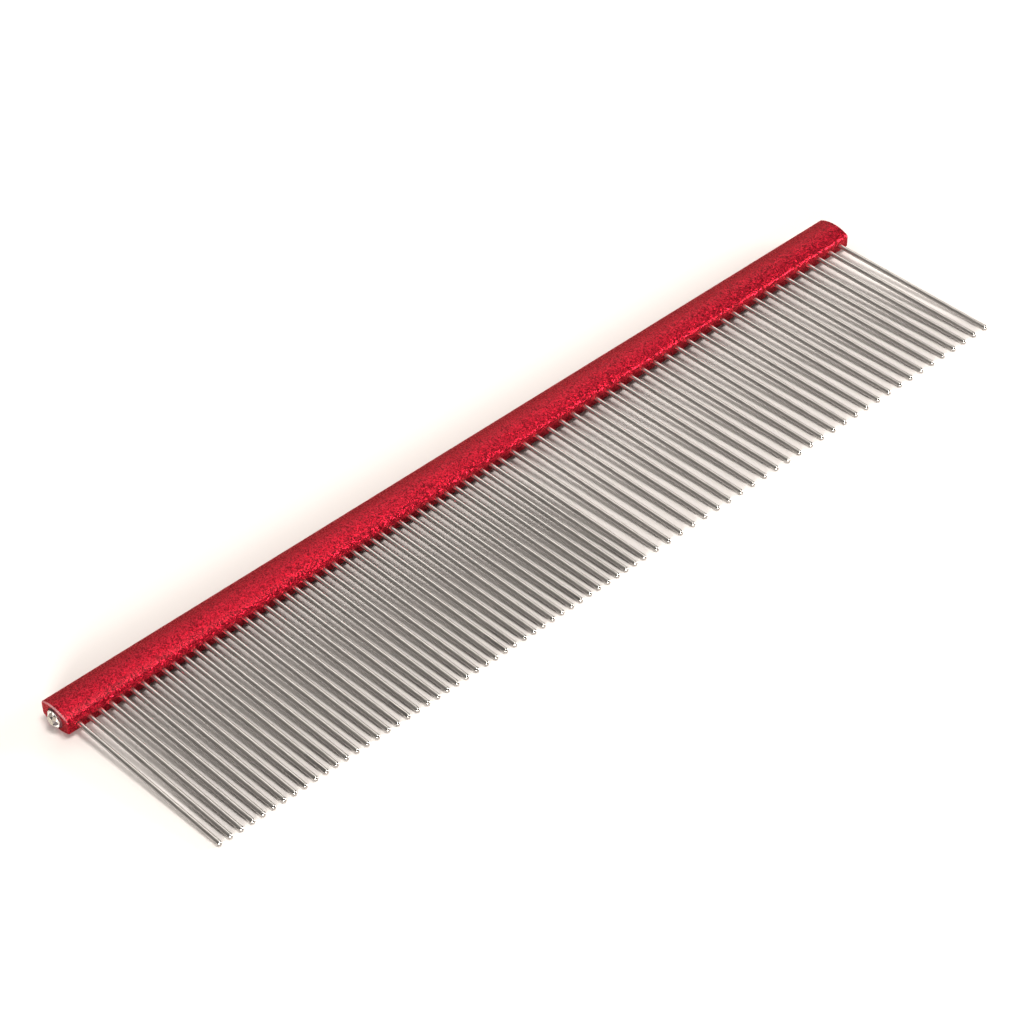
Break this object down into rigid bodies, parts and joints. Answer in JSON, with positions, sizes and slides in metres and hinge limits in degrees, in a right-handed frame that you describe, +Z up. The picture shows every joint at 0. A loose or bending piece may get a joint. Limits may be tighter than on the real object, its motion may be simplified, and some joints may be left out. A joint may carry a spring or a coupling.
{
  "type": "grooming comb",
  "caption": "Pet grooming comb: a crowned red metal bar with one row of long round-tipped steel pins, close-set at one end and wider apart at the other, and a cut crystal in each bar end.",
  "frame": {"origin": "on the table, under the centre of the whole comb's bounding box", "axes": "+X along the bar from the fine-pitch end to the coarse-pitch end, -Y the way the pins point, +Z up with the comb lying flat on its underside and pin tips"},
  "size_m": [0.2522, 0.0582, 0.006],
  "materials": {
    "red_bar": "red granular glitter coat over aluminium, satin",
    "steel_pins": "polished stainless steel",
    "crystal": "clear cut crystal with a silvered back",
    "adhesive": "cured adhesive, dark with the red of the socket"
  },
  "bodies": {
    "root": {"bar": "red_bar", "fine_pins_01": "steel_pins", "fine_pins_02": "steel_pins", "fine_pins_03": "steel_pins", "fine_pins_04": "steel_pins", "fine_pins_05": "steel_pins", "fine_pins_06": "steel_pins", "fine_pins_07": "steel_pins", "fine_pins_08": "steel_pins", "fine_pins_09": "steel_pins", "fine_pins_10": "steel_pins", "fine_pins_11": "steel_pins", "fine_pins_12": "steel_pins", "fine_pins_13": "steel_pins", "fine_pins_14": "steel_pins", "fine_pins_15": "steel_pins", "fine_pins_16": "steel_pins", "fine_pins_17": "steel_pins", "fine_pins_18": "steel_pins", "fine_pins_19": "steel_pins", "fine_pins_20": "steel_pins", "fine_pins_21": "steel_pins", "fine_pins_22": "steel_pins", "coarse_pin_01": "steel_pins", "coarse_pin_02": "steel_pins", "coarse_pin_03": "steel_pins", "coarse_pin_04": "steel_pins", "coarse_pin_05": "steel_pins", "coarse_pin_06": "steel_pins", "coarse_pin_07": "steel_pins", "coarse_pin_08": "steel_pins", "coarse_pin_09": "steel_pins", "coarse_pin_10": "steel_pins", "coarse_pin_11": "steel_pins", "coarse_pin_12": "steel_pins", "coarse_pin_13": "steel_pins", "coarse_pin_14": "steel_pins", "coarse_pin_15": "steel_pins", "coarse_pin_16": "steel_pins", "coarse_pin_17": "steel_pins", "coarse_pin_18": "steel_pins", "coarse_pin_19": "steel_pins", "coarse_pin_20": "steel_pins", "coarse_pin_21": "steel_pins", "coarse_pin_22": "steel_pins", "coarse_pin_23": "steel_pins", "coarse_pin_24": "steel_pins", "coarse_pin_25": "steel_pins", "coarse_pin_26": "steel_pins", "coarse_pin_27": "steel_pins", "coarse_pin_28": "steel_pins", "coarse_pin_29": "steel_pins", "coarse_pin_30": "steel_pins", "crystal_fine_end": "crystal", "crystal_coarse_end": "crystal", "adhesive_fine_end": "adhesive", "adhesive_coarse_end": "adhesive"}
  },
  "joints": []
}
